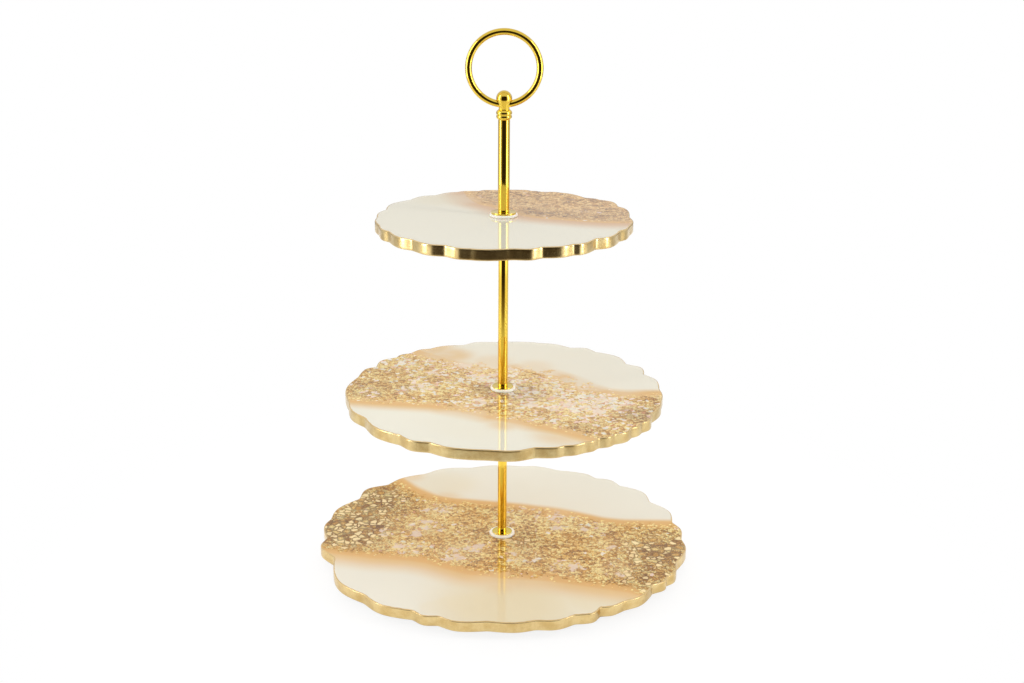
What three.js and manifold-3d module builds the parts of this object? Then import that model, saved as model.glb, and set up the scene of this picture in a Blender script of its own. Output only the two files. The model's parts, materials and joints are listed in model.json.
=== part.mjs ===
// Three-tier cake stand: three wavy-edged cast resin plates, clamped between washers on a
// column of screwed rods, with a finial on top that carries a swinging ring handle.
// Millimetres, +Z up. The origin is on the column's axis, at the level of the table.

import * as THREE from 'three';
import { mergeVertices } from 'three/addons/utils/BufferGeometryUtils.js';
import Module from 'manifold-3d';

const wasm = await Module();
wasm.setup();

// ---- Plates
const PLATE_THICKNESS = 8.5;
const PLATE_HOLE_RADIUS = 3.5;

// Plate edges, each as [angle in degrees, radius] knots about the column's axis,
// which alternate between a notch and the crest of a lobe.
const LOWER_EDGE = [
  [-176, 146], [-171, 150.5], [-162, 142.5], [-145, 152.5], [-135, 149], [-128, 151.5],
  [-117, 146], [-113, 149], [-109, 146], [-103, 149.5], [-94, 146], [-86, 148],
  [-80, 146], [-74, 149], [-68, 146], [-63, 149], [-59, 144.5], [-55, 148],
  [-51, 147.5], [-45, 150.5], [-37, 147], [-32.5, 151.5], [-30.5, 150], [-27, 153],
  [-20, 149], [-10, 153], [-3, 149.5], [3, 151.5], [9, 147.5], [17, 152],
  [26, 145.5], [34, 152], [43, 145.5], [48, 149], [53.5, 144], [58, 147],
  [68.5, 143], [78, 146], [82.5, 143.5], [93, 144.5], [102, 141.5], [112, 146.5],
  [120, 143], [129, 146.5], [136.5, 143.5], [144, 151], [151.5, 144], [163, 151],
  [169.5, 149], [174, 151],
];
const MIDDLE_EDGE = [
  [-166, 125], [-157, 127], [-148, 124], [-137, 128], [-127, 126], [-121, 129.5],
  [-115, 126.5], [-106, 130], [-95, 129], [-87, 130.5], [-79, 126], [-72, 129],
  [-69.5, 128], [-66, 129.5], [-62, 128.5], [-59.5, 129], [-56, 126.5], [-52, 129],
  [-49.5, 128], [-45, 130.5], [-41, 128.5], [-38, 130], [-35, 129], [-31.5, 131],
  [-25, 127], [-17, 129], [-11, 128], [-6, 128.5], [1, 127], [10, 129],
  [17.5, 124], [25, 129.5], [31, 123.5], [40.5, 130], [50, 126], [55, 129.5],
  [61, 123], [69, 126.5], [75, 125], [77, 125.5], [94, 123], [100.5, 124.5],
  [107, 119.5], [116.5, 123], [122, 121.5], [126, 124], [132, 121], [136, 123.5],
  [139.5, 121], [146, 125.5], [153.5, 120], [158, 125], [167, 123], [-179, 126.5],
];
const UPPER_EDGE = [
  [-161, 99.5], [-152, 102], [-147.5, 100.5], [-136, 104.5], [-130, 103], [-120, 107],
  [-113.5, 104.5], [-106.5, 108.5], [-102.5, 108], [-99.5, 108.5], [-86, 105], [-80, 107],
  [-74.5, 103], [-66.5, 105.5], [-61, 103.5], [-58, 105], [-47.5, 99.5], [-41, 103],
  [-29, 99], [-24, 101], [-18, 100], [-10, 100.5], [0, 97.5], [17, 101.5],
  [22, 99.5], [32, 104.5], [39, 101], [40.5, 101.5], [46, 98], [60, 103.5],
  [62, 103], [64, 103.5], [71.5, 99.5], [74, 101], [76.5, 100.5], [79, 103],
  [95, 101], [99, 101.5], [102.5, 98.5], [110.5, 101], [113, 99.5], [117, 100.5],
  [126, 96.5], [133, 100], [142.5, 96.5], [154.5, 100], [167.5, 95.5], [176, 98.5],
  [-177, 98], [-167, 100],
];

// ---- Column: one entry for each plate, from the table up
const TIERS = [
  {
    name: 'lower', plateTop: 15, edge: LOWER_EDGE, color: 0xe6d8bb,
    rod: 'lower_rod', rodRadius: 3.75,
    washerRadius: 8.2, washerThickness: 0.8, nylonRadius: 10.4,
  },
  {
    name: 'middle', plateTop: 143.7, edge: MIDDLE_EDGE, color: 0xe8dcc4,
    rod: 'middle_rod', rodRadius: 4,
    washerRadius: 8.6, washerThickness: 0.8, nylonRadius: 10,
  },
  {
    name: 'upper', plateTop: 286.1, edge: UPPER_EDGE, color: 0xe4d9c8,
    rod: 'handle_rod', rodRadius: 4.5,
    washerRadius: 9.75, washerThickness: 1.3, nylonRadius: 10.8,
  },
];
const UNDER_WASHER_THICKNESS = 0.8;
const NYLON_THICKNESS = 2;
const TURNING_GAP = 0.05;

// ---- M4 fastenings
const THREAD_RADIUS = 2;
const TAPPED_RADIUS = 2.05;
const WASHER_BORE_RADIUS = 2.3;
const THREAD_ENGAGEMENT = 8;
const TAPPED_DEPTH = 9;
const END_CHAMFER = 0.4;
const SCREW_HEAD_RADIUS = 6.5;
const SCREW_HEAD_THICKNESS = 2.2;
const SLOT_WIDTH = 1.4;
const SLOT_DEPTH = 1;

// ---- Finial, collar and ring
const COLLAR_BOTTOM = 360.7;
const BEADS = [
  { radius: 5.9, height: 3.5 },
  { radius: 6.05, height: 3.9 },
];
// The collar's radius at its lower end, between the beads, and at its upper end
const COLLAR_WAISTS = [4.8, 5.5, 4.6];
// The neck widens from this radius at the collar to meet the ball this far below its centre
const NECK_RADIUS = 4.1;
const NECK_TOP_DROP = 2.9;
const BALL_RADIUS = 6.05;
const BALL_CENTRE = 376.5;
const RING_HOLE_RADIUS = 3.3;
const RING_HOLE_CENTRE = 372.1;
const RING_RADIUS = 26.85;
const RING_WIRE_RADIUS = 2.55;

// ---- Feet
const FOOT_HEIGHT = TIERS[0].plateTop - PLATE_THICKNESS;
const FOOT_RADIUS = 7.5;
const FOOT_TREAD_RADIUS = 6;
const FOOT_CIRCLE_RADIUS = 105;
const FEET = [
  { name: 'foot_back_right', angle: 45 },
  { name: 'foot_back_left', angle: 135 },
  { name: 'foot_front_left', angle: 225 },
  { name: 'foot_front_right', angle: 315 },
];

// ---- Fineness of curved surfaces
const STEPS_PER_KNOT = 4;
const ROUND_SEGMENTS = 24;
const HOLE_SEGMENTS = 32;
const BALL_STEPS = 10;
const BEAD_STEPS = 4;
const RING_SEGMENTS = 60;
const WIRE_SEGMENTS = 12;
const MERGE_DISTANCE = 1e-4;

// ---- Materials
const gold = new THREE.MeshStandardMaterial({ color: 0xd9a92c, roughness: 0.12, metalness: 1 });
const nylon = new THREE.MeshStandardMaterial({ color: 0xf4f2ea, roughness: 0.4, metalness: 0 });
const silicone = new THREE.MeshStandardMaterial({ color: 0xd8d8d2, roughness: 0.35, metalness: 0 });

const stand = new THREE.Group();

function addMesh(name, geometry, material) {
  const mesh = new THREE.Mesh(geometry, material);
  mesh.name = name;
  stand.add(mesh);
  return mesh;
}

// A solid turned about the Z axis. The profile is [radius, z] points, anticlockwise.
function turned(profile, segments = ROUND_SEGMENTS) {
  const points = profile.map(([radius, z]) => new THREE.Vector2(radius, z));
  const geometry = new THREE.LatheGeometry(points, segments);
  geometry.rotateX(Math.PI / 2);
  return geometry;
}

// A flat ring about the Z axis, such as a washer.
function annulus(innerRadius, outerRadius, bottom, top) {
  return turned([
    [innerRadius, bottom],
    [outerRadius, bottom],
    [outerRadius, top],
    [innerRadius, top],
    [innerRadius, bottom],
  ]);
}

// Points on an arc, as [radius, z] about the centre [0, centreZ], from one latitude to another.
function arcPoints(radius, centreZ, fromAngle, toAngle, steps) {
  const points = [];
  for (let step = 0; step <= steps; step += 1) {
    const angle = fromAngle + ((toAngle - fromAngle) * step) / steps;
    points.push([radius * Math.cos(angle), centreZ + radius * Math.sin(angle)]);
  }
  return points;
}

// ---- Boolean cuts

// The triangles that still have three different corners after vertices are merged.
function properTriangles(index) {
  const kept = [];
  for (let i = 0; i < index.length; i += 3) {
    const [a, b, c] = [index[i], index[i + 1], index[i + 2]];
    if (a !== b && b !== c && c !== a) kept.push(a, b, c);
  }
  return Uint32Array.from(kept);
}

function toSolid(geometry) {
  geometry.deleteAttribute('normal');
  geometry.deleteAttribute('uv');
  const merged = mergeVertices(geometry, MERGE_DISTANCE);
  return new wasm.Manifold(new wasm.Mesh({
    numProp: 3,
    vertProperties: merged.attributes.position.array,
    triVerts: properTriangles(merged.index.array),
  }));
}

function toGeometry(solid) {
  const mesh = solid.getMesh();
  const geometry = new THREE.BufferGeometry();
  geometry.setAttribute('position', new THREE.BufferAttribute(mesh.vertProperties, 3));
  geometry.setIndex(new THREE.BufferAttribute(mesh.triVerts, 1));
  geometry.computeVertexNormals();
  return geometry;
}

function cut(geometry, tool) {
  return toGeometry(toSolid(geometry).subtract(toSolid(tool)));
}

// ---- Plates

// How far a lobe has swelled, from 0 at its notch to 1 at its crest:
// the sine makes the notch crisp, and the cosine softens it.
function swell(fraction) {
  const crisp = Math.sin((fraction * Math.PI) / 2);
  const soft = (1 - Math.cos(fraction * Math.PI)) / 2;
  return (crisp + soft) / 2;
}

function edgeOutline(knots) {
  const outline = [];
  knots.forEach(([angle, radius], index) => {
    const [nextAngle, nextRadius] = knots[(index + 1) % knots.length];
    const sweep = (nextAngle - angle + 360) % 360;
    const rise = Math.abs(nextRadius - radius);
    const base = Math.min(nextRadius, radius);
    for (let step = 0; step < STEPS_PER_KNOT; step += 1) {
      const along = step / STEPS_PER_KNOT;
      const fromNotch = nextRadius > radius ? along : 1 - along;
      const theta = THREE.MathUtils.degToRad(angle + sweep * along);
      const r = base + rise * swell(fromNotch);
      outline.push(new THREE.Vector2(r * Math.cos(theta), r * Math.sin(theta)));
    }
  });
  return outline;
}

function addPlate(tier) {
  const shape = new THREE.Shape(edgeOutline(tier.edge));
  const hole = new THREE.Path();
  hole.absarc(0, 0, PLATE_HOLE_RADIUS, 0, 2 * Math.PI, true);
  shape.holes.push(hole);
  const geometry = new THREE.ExtrudeGeometry(shape, {
    depth: PLATE_THICKNESS,
    bevelEnabled: false,
    curveSegments: ROUND_SEGMENTS,
  });
  const resin = new THREE.MeshStandardMaterial({ color: tier.color, roughness: 0.1, metalness: 0 });
  const plate = addMesh(`${tier.name}_plate`, geometry, resin);
  plate.position.z = tier.plateTop - PLATE_THICKNESS;
}

// ---- Washers: a nylon one against each face of the plate, with a gold one outside it

function nylonTop(tier) {
  return tier.plateTop + TURNING_GAP + NYLON_THICKNESS;
}

function nylonBottom(tier) {
  return tier.plateTop - PLATE_THICKNESS - TURNING_GAP - NYLON_THICKNESS;
}

function stackTop(tier) {
  return nylonTop(tier) + tier.washerThickness;
}

function stackBottom(tier) {
  return nylonBottom(tier) - UNDER_WASHER_THICKNESS;
}

function addWasher(name, radius, bottom, thickness, material) {
  const geometry = annulus(WASHER_BORE_RADIUS, radius, 0, thickness);
  addMesh(name, geometry, material).position.z = bottom;
}

function addWashers(tier) {
  const { name, washerRadius, washerThickness, nylonRadius } = tier;
  const overNylon = nylonTop(tier);
  const overPlate = overNylon - NYLON_THICKNESS;
  const underPlate = nylonBottom(tier);
  addWasher(`${name}_nylon_washer_top`, nylonRadius, overPlate, NYLON_THICKNESS, nylon);
  addWasher(`${name}_gold_washer_top`, washerRadius, overNylon, washerThickness, gold);
  addWasher(`${name}_nylon_washer_bottom`, nylonRadius, underPlate, NYLON_THICKNESS, nylon);
  addWasher(`${name}_gold_washer_bottom`, washerRadius, stackBottom(tier), UNDER_WASHER_THICKNESS, gold);
}

// ---- Rods and their fastenings

// A rod with chamfered ends and a tapped blind hole in each end.
function addRod(name, radius, bottom, top) {
  const length = top - bottom;
  const geometry = turned([
    [0, TAPPED_DEPTH],
    [TAPPED_RADIUS, TAPPED_DEPTH],
    [TAPPED_RADIUS, 0],
    [radius - END_CHAMFER, 0],
    [radius, END_CHAMFER],
    [radius, length - END_CHAMFER],
    [radius - END_CHAMFER, length],
    [TAPPED_RADIUS, length],
    [TAPPED_RADIUS, length - TAPPED_DEPTH],
    [0, length - TAPPED_DEPTH],
  ]);
  addMesh(name, geometry, gold).position.z = bottom;
}

// A headless M4 stud that joins two rods through the plate between them.
function addStud(name, bottom, top) {
  const length = top - bottom;
  const geometry = turned([
    [0, 0],
    [THREAD_RADIUS - END_CHAMFER, 0],
    [THREAD_RADIUS, END_CHAMFER],
    [THREAD_RADIUS, length - END_CHAMFER],
    [THREAD_RADIUS - END_CHAMFER, length],
    [0, length],
  ]);
  addMesh(name, geometry, gold).position.z = bottom;
}

// The slotted screw under the lower plate, which holds the column down on it.
function addBaseScrew(headTop, tip) {
  const headBottom = headTop - SCREW_HEAD_THICKNESS;
  const screw = turned([
    [0, headBottom],
    [SCREW_HEAD_RADIUS - END_CHAMFER, headBottom],
    [SCREW_HEAD_RADIUS, headBottom + END_CHAMFER],
    [SCREW_HEAD_RADIUS, headTop],
    [THREAD_RADIUS, headTop],
    [THREAD_RADIUS, tip - END_CHAMFER],
    [THREAD_RADIUS - END_CHAMFER, tip],
    [0, tip],
  ]);
  const slotLength = 3 * SCREW_HEAD_RADIUS;
  const slot = new THREE.BoxGeometry(slotLength, SLOT_WIDTH, 2 * SLOT_DEPTH);
  slot.translate(0, 0, headBottom);
  addMesh('base_screw', cut(screw, slot), gold);
}

function addColumn() {
  TIERS.forEach((tier, index) => {
    const above = TIERS[index + 1];
    const rodTop = above ? stackBottom(above) : COLLAR_BOTTOM;
    addWashers(tier);
    addRod(tier.rod, tier.rodRadius, stackTop(tier), rodTop);
    if (index > 0) {
      addStud(`${tier.name}_stud`, stackBottom(tier) - THREAD_ENGAGEMENT, stackTop(tier) + THREAD_ENGAGEMENT);
    }
  });
  addBaseScrew(stackBottom(TIERS[0]), stackTop(TIERS[0]) + THREAD_ENGAGEMENT);
}

// ---- Collar: two round beads on one loose sleeve

function addCollar() {
  const profile = [[WASHER_BORE_RADIUS, 0]];
  let bottom = 0;
  BEADS.forEach((bead, index) => {
    const lowerWaist = COLLAR_WAISTS[index];
    const upperWaist = COLLAR_WAISTS[index + 1];
    const bulge = bead.radius - (lowerWaist + upperWaist) / 2;
    for (let step = 0; step <= BEAD_STEPS; step += 1) {
      const along = step / BEAD_STEPS;
      const waist = lowerWaist + (upperWaist - lowerWaist) * along;
      const radius = waist + bulge * Math.sin(along * Math.PI);
      const repeatsGroove = step === 0 && bottom > 0;
      if (!repeatsGroove) profile.push([radius, bottom + bead.height * along]);
    }
    bottom += bead.height;
  });
  profile.push([WASHER_BORE_RADIUS, bottom]);
  profile.push([WASHER_BORE_RADIUS, 0]);
  addMesh('bead_collar', turned(profile), gold).position.z = COLLAR_BOTTOM;
}

// ---- Finial: a ball on a tapered neck with a threaded stub below, cross-drilled for the ring

function addFinial() {
  const neckBottom = COLLAR_BOTTOM + BEADS[0].height + BEADS[1].height;
  const stubBottom = COLLAR_BOTTOM - THREAD_ENGAGEMENT;
  const neckLatitude = -Math.asin(NECK_TOP_DROP / BALL_RADIUS);
  const body = turned([
    [0, stubBottom],
    [THREAD_RADIUS - END_CHAMFER, stubBottom],
    [THREAD_RADIUS, stubBottom + END_CHAMFER],
    [THREAD_RADIUS, neckBottom],
    [NECK_RADIUS, neckBottom],
    ...arcPoints(BALL_RADIUS, BALL_CENTRE, neckLatitude, Math.PI / 2, BALL_STEPS).slice(0, -1),
    [0, BALL_CENTRE + BALL_RADIUS],
  ]);
  const drill = new THREE.CylinderGeometry(
    RING_HOLE_RADIUS, RING_HOLE_RADIUS, 4 * BALL_RADIUS, HOLE_SEGMENTS,
  );
  drill.rotateZ(Math.PI / 2);
  drill.translate(0, 0, RING_HOLE_CENTRE);
  addMesh('finial', cut(body, drill), gold);
}

// ---- Ring handle: a closed wire ring, upright, whose lowest point is in the finial's hole

function addRing() {
  const geometry = new THREE.TorusGeometry(RING_RADIUS, RING_WIRE_RADIUS, WIRE_SEGMENTS, RING_SEGMENTS);
  geometry.rotateX(Math.PI / 2);
  addMesh('ring_handle', geometry, gold).position.z = RING_HOLE_CENTRE + RING_RADIUS;
}

// ---- Feet: soft bumpers stuck under the lower plate

function addFeet() {
  const geometry = turned([
    [0, 0],
    [FOOT_TREAD_RADIUS, 0],
    [FOOT_RADIUS, FOOT_HEIGHT / 3],
    [FOOT_RADIUS, FOOT_HEIGHT],
    [0, FOOT_HEIGHT],
  ]);
  for (const { name, angle } of FEET) {
    const theta = THREE.MathUtils.degToRad(angle);
    const foot = addMesh(name, geometry, silicone);
    foot.position.set(FOOT_CIRCLE_RADIUS * Math.cos(theta), FOOT_CIRCLE_RADIUS * Math.sin(theta), 0);
  }
}

TIERS.forEach(addPlate);
addColumn();
addCollar();
addFinial();
addRing();
addFeet();

export default stand;
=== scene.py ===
import json
import math

import bmesh
import bpy
import numpy as np
from mathutils import Matrix, Vector

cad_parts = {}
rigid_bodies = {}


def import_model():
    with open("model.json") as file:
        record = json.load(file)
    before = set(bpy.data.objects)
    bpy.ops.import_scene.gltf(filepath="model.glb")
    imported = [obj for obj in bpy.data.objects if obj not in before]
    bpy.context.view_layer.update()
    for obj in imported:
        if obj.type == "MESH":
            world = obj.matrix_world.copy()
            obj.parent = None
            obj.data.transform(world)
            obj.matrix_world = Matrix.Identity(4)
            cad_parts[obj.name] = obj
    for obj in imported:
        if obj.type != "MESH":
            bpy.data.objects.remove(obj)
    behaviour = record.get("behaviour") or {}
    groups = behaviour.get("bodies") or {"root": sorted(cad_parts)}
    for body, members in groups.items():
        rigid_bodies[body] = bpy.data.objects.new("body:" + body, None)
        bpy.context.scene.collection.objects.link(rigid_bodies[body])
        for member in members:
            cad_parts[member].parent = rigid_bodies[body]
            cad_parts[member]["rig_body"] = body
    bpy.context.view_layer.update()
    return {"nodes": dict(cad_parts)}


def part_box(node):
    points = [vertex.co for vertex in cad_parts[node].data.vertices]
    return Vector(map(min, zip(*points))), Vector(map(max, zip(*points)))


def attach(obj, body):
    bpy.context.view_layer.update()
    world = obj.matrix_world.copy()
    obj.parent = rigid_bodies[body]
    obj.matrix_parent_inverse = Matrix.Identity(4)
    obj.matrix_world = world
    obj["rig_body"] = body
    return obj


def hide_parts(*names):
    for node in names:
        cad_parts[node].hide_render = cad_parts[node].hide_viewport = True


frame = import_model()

# Looks for the three-tier cake stand: cast resin plates with a flake band and a gilt edge,
# a column of polished gold rods and washers, and a ring handle. Lengths are in metres, in the
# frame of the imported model: origin on the column's axis at table level, +Z up, +Y to the back.

MM = 0.001
NODES = frame["nodes"]
TIERS = ("lower", "middle", "upper")

# Fineness of the turned and cast pieces
TURN_SEGMENTS = 96
FILLET_STEPS = 5
EDGE_COLUMNS = 720

# Bores for the M4 fastenings and the ring, as in the CAD model
TAPPED_RADIUS = 2.05 * MM
TAPPED_DEPTH = 9 * MM
WASHER_BORE = 2.3 * MM
PLATE_BORE = 3.5 * MM
RING_HOLE_RADIUS = 3.3 * MM


def srgb(red, green, blue):
    """A colour given as 0 to 255 display values, as the linear RGBA that shaders take."""
    linear = []
    for value in (red, green, blue):
        share = value / 255
        linear.append(share / 12.92 if share <= 0.04045 else ((share + 0.055) / 1.055) ** 2.4)
    return (*linear, 1.0)


# ---------------------------------------------------------------- mesh helpers

def mesh_object(name, bm, smooth_angle=40):
    """Turns a bmesh into an object in the scene, smooth except across edges sharper than
    smooth_angle degrees."""
    bmesh.ops.recalc_face_normals(bm, faces=bm.faces)
    mesh = bpy.data.meshes.new(name)
    bm.to_mesh(mesh)
    bm.free()
    mesh.shade_smooth()
    mesh.set_sharp_from_angle(angle=math.radians(smooth_angle))
    piece = bpy.data.objects.new(name, mesh)
    bpy.context.scene.collection.objects.link(piece)
    return piece


def filleted(corners):
    """Rounds a profile's corners. Each corner is (radius, z) or (radius, z, fillet)."""
    points = []
    count = len(corners)
    for index, corner in enumerate(corners):
        here = Vector(corner[:2])
        fillet = corner[2] if len(corner) > 2 else 0
        if not fillet:
            points.append(here)
            continue
        back = (Vector(corners[index - 1][:2]) - here).normalized()
        ahead = (Vector(corners[(index + 1) % count][:2]) - here).normalized()
        half = back.angle(ahead) / 2
        start = here + back * fillet / math.tan(half)
        end = here + ahead * fillet / math.tan(half)
        centre = here + (back + ahead).normalized() * fillet / math.sin(half)
        for step in range(FILLET_STEPS + 1):
            share = step / FILLET_STEPS
            spoke = (start - centre).lerp(end - centre, share).normalized() * fillet
            points.append(centre + spoke)
    return points


def turned(name, corners, closed=False):
    """A piece turned about the column's axis from a profile, whose corners are as in filleted().
    A closed profile's last corner joins its first, as round a bore."""
    segments = TURN_SEGMENTS
    bm = bmesh.new()
    rings = []
    for radius, z in filleted(corners):
        if radius < 1e-7:
            rings.append([bm.verts.new((0, 0, z))] * segments)
            continue
        turn = [2 * math.pi * step / segments for step in range(segments)]
        rings.append([bm.verts.new((radius * math.cos(a), radius * math.sin(a), z)) for a in turn])
    pairs = list(zip(rings, rings[1:]))
    if closed:
        pairs.append((rings[-1], rings[0]))
    for lower, upper in pairs:
        for step in range(segments):
            following = (step + 1) % segments
            quad = [lower[step], lower[following], upper[following], upper[step]]
            face = list(dict.fromkeys(quad))
            if len(face) > 2:
                bm.faces.new(face)
    return mesh_object(name, bm)


def dress(piece, node, material):
    """Gives a piece its material and slot, and puts it in a CAD node's place, on that node's
    body. A piece that has its materials already is given None."""
    if material is not None:
        piece.data.materials.append(material)
    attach(piece, NODES[node]["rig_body"])
    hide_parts(node)
    return piece


# ---------------------------------------------------------------- shader helper

class Shader:
    """A node material. Each method adds a node and returns its output, to be fed to the next."""

    def __init__(self, name):
        self.material = bpy.data.materials.new(name)
        self.material.use_nodes = True
        self.tree = self.material.node_tree
        self.principled = self.tree.nodes["Principled BSDF"]
        self.place = self.add("ShaderNodeTexCoord").outputs["Object"]

    def add(self, kind, **settings):
        node = self.tree.nodes.new(kind)
        for key, value in settings.items():
            setattr(node, key, value)
        return node

    def feed(self, socket, value):
        """Links an output to an input socket, or sets a plain value on it."""
        if isinstance(value, bpy.types.NodeSocket):
            self.tree.links.new(value, socket)
        elif value is not None:
            socket.default_value = value

    def set(self, **values):
        """Sets the Principled shader's sockets: Base_Color=... stands for "Base Color"."""
        for key, value in values.items():
            self.feed(self.principled.inputs[key.replace("_", " ")], value)

    def math(self, operation, a, b=None, clamp=False):
        node = self.add("ShaderNodeMath", operation=operation, use_clamp=clamp)
        for socket, value in zip(node.inputs, (a, b)):
            self.feed(socket, value)
        return node.outputs[0]

    def vector(self, operation, a, b=None, scale=None):
        node = self.add("ShaderNodeVectorMath", operation=operation)
        self.feed(node.inputs[0], a)
        self.feed(node.inputs[1], b)
        if scale is not None:
            self.feed(node.inputs["Scale"], scale)
        return node.outputs["Value" if operation in ("LENGTH", "DOT_PRODUCT") else "Vector"]

    def smooth(self, value, low, high, to_low=0.0, to_high=1.0):
        """A smooth step from to_low to to_high as value goes from low to high."""
        node = self.add("ShaderNodeMapRange", interpolation_type="SMOOTHSTEP")
        for key, number in (("Value", value), ("From Min", low), ("From Max", high),
                            ("To Min", to_low), ("To Max", to_high)):
            self.feed(node.inputs[key], number)
        return node.outputs["Result"]

    def noise(self, scale, detail=3.0, roughness=0.5, place=None, output="Fac"):
        node = self.add("ShaderNodeTexNoise")
        self.feed(node.inputs["Vector"], self.place if place is None else place)
        self.feed(node.inputs["Scale"], scale)
        self.feed(node.inputs["Detail"], detail)
        self.feed(node.inputs["Roughness"], roughness)
        return node.outputs[output]

    def cells(self, scale, place=None, feature="F1", output="Color"):
        node = self.add("ShaderNodeTexVoronoi", feature=feature)
        self.feed(node.inputs["Vector"], self.place if place is None else place)
        self.feed(node.inputs["Scale"], scale)
        return node.outputs[output]

    def ramp(self, value, stops):
        """A colour ramp: stops are (position, colour)."""
        node = self.add("ShaderNodeValToRGB")
        elements = node.color_ramp.elements
        while len(elements) < len(stops):
            elements.new(1.0)
        for element, (position, colour) in zip(elements, stops):
            element.position = position
            element.color = colour
        self.feed(node.inputs[0], value)
        return node.outputs[0]

    def mix(self, share, a, b, blend="MIX"):
        node = self.add("ShaderNodeMix", data_type="RGBA", blend_type=blend)
        self.feed(node.inputs[0], share)
        self.feed(node.inputs[6], a)
        self.feed(node.inputs[7], b)
        return node.outputs[2]

    def blend(self, share, a, b):
        """A number between a and b."""
        node = self.add("ShaderNodeMix", data_type="FLOAT")
        self.feed(node.inputs[0], share)
        self.feed(node.inputs[2], a)
        self.feed(node.inputs[3], b)
        return node.outputs[0]

    def bump(self, height, distance):
        node = self.add("ShaderNodeBump")
        self.feed(node.inputs["Height"], height)
        self.feed(node.inputs["Distance"], distance)
        self.feed(node.inputs["Strength"], 1.0)
        return node.outputs[0]

    def attribute(self, name):
        return self.add("ShaderNodeAttribute", attribute_name=name).outputs["Fac"]

    def parts(self, vector):
        node = self.add("ShaderNodeSeparateXYZ")
        self.feed(node.inputs[0], vector)
        return node.outputs[0], node.outputs[1], node.outputs[2]

    def joined(self, x, y, z):
        node = self.add("ShaderNodeCombineXYZ")
        for socket, value in zip(node.inputs, (x, y, z)):
            self.feed(socket, value)
        return node.outputs[0]

    def transparent(self):
        return self.add("ShaderNodeBsdfTransparent").outputs[0]

    def emission(self, colour=(1.0, 1.0, 1.0, 1.0)):
        node = self.add("ShaderNodeEmission")
        self.feed(node.inputs["Color"], colour)
        return node.outputs[0]

    def mix_shaders(self, share, a, b):
        """Shader a, giving way to b by a share. None stands for black."""
        node = self.add("ShaderNodeMixShader")
        self.feed(node.inputs[0], share)
        self.feed(node.inputs[1], a)
        self.feed(node.inputs[2], b)
        return node.outputs[0]

    def surface(self, shader):
        """Puts a shader in the Principled shader's place."""
        self.feed(self.tree.nodes["Material Output"].inputs["Surface"], shader)


# ---------------------------------------------------------------- metals and plastics

def polished_gold(name, colour, roughness):
    """Gold plate polished on a lathe, under clear lacquer: faint turning lines, and soft smears
    from handling."""
    s = Shader(name)
    x, y, z = s.parts(s.place)
    lines = s.noise(1.0, 2.0, 0.6, place=s.joined(s.math("MULTIPLY", x, 60.0),
                                                  s.math("MULTIPLY", y, 60.0),
                                                  s.math("MULTIPLY", z, 2400.0)))
    smears = s.noise(70.0, 4.0, 0.6)
    worn = s.smooth(smears, 0.35, 0.75)
    s.set(Base_Color=s.mix(worn, colour, tuple(c * 0.93 for c in colour[:3]) + (1.0,)),
          Metallic=1.0,
          Roughness=s.math("ADD", s.math("MULTIPLY", worn, 0.03),
                           s.math("ADD", s.math("MULTIPLY", lines, 0.03), roughness)),
          Coat_Weight=0.6,
          Coat_Roughness=0.04,
          Coat_IOR=1.5)
    return s.material


def gilt_edge(name, light, dark, roughness):
    """Gold leaf paint on a plate's edge: upright strokes and slow patches of tone, with faint
    level streaks."""
    s = Shader(name)
    x, y, z = s.parts(s.place)
    around = s.math("ARCTAN2", y, x)
    strokes = s.noise(1.0, 3.0, 0.6, place=s.joined(s.math("MULTIPLY", around, 60.0),
                                                    s.math("MULTIPLY", z, 40.0), 0.0))
    streaks = s.noise(1.0, 3.0, 0.6, place=s.joined(s.math("MULTIPLY", around, 9.0),
                                                    s.math("MULTIPLY", z, 900.0), 0.0))
    patches = s.noise(1.0, 3.0, 0.55, place=s.joined(s.math("MULTIPLY", around, 14.0),
                                                     s.math("MULTIPLY", z, 110.0), 0.0))
    tone = s.mix(s.smooth(patches, 0.35, 0.7), light, dark)
    tone = s.mix(s.math("MULTIPLY", s.smooth(strokes, 0.45, 0.8), 0.45), tone, dark)
    tone = s.mix(s.math("MULTIPLY", s.smooth(streaks, 0.45, 0.8), 0.2), tone, dark)
    s.set(Base_Color=tone,
          Metallic=1.0,
          Roughness=s.math("ADD", s.math("MULTIPLY", strokes, 0.12), roughness),
          Normal=s.bump(streaks, 0.0015 * MM))
    return s.material


def nylon_material():
    """White nylon: faint mottling and a moulded, satin surface."""
    s = Shader("nylon_white")
    mottle = s.noise(500.0, 3.0)
    grain = s.noise(4000.0, 2.0)
    s.set(Base_Color=s.mix(mottle, srgb(250, 249, 243), srgb(238, 235, 222)),
          Roughness=s.math("ADD", s.math("MULTIPLY", mottle, 0.15), 0.3),
          Normal=s.bump(grain, 0.01 * MM),
          Subsurface_Weight=0.15,
          Subsurface_Scale=1.5 * MM)
    return s.material


def silicone_material():
    """Cloudy clear silicone, for the bumper feet."""
    s = Shader("silicone_clear")
    cloud = s.noise(250.0, 4.0)
    s.set(Base_Color=s.mix(cloud, srgb(226, 226, 220), srgb(200, 201, 194)),
          Roughness=s.math("ADD", s.math("MULTIPLY", cloud, 0.2), 0.25),
          Normal=s.bump(s.noise(1500.0, 2.0), 0.02 * MM),
          Subsurface_Weight=0.3,
          Subsurface_Scale=3 * MM)
    return s.material


# ---------------------------------------------------------------- resin

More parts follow.
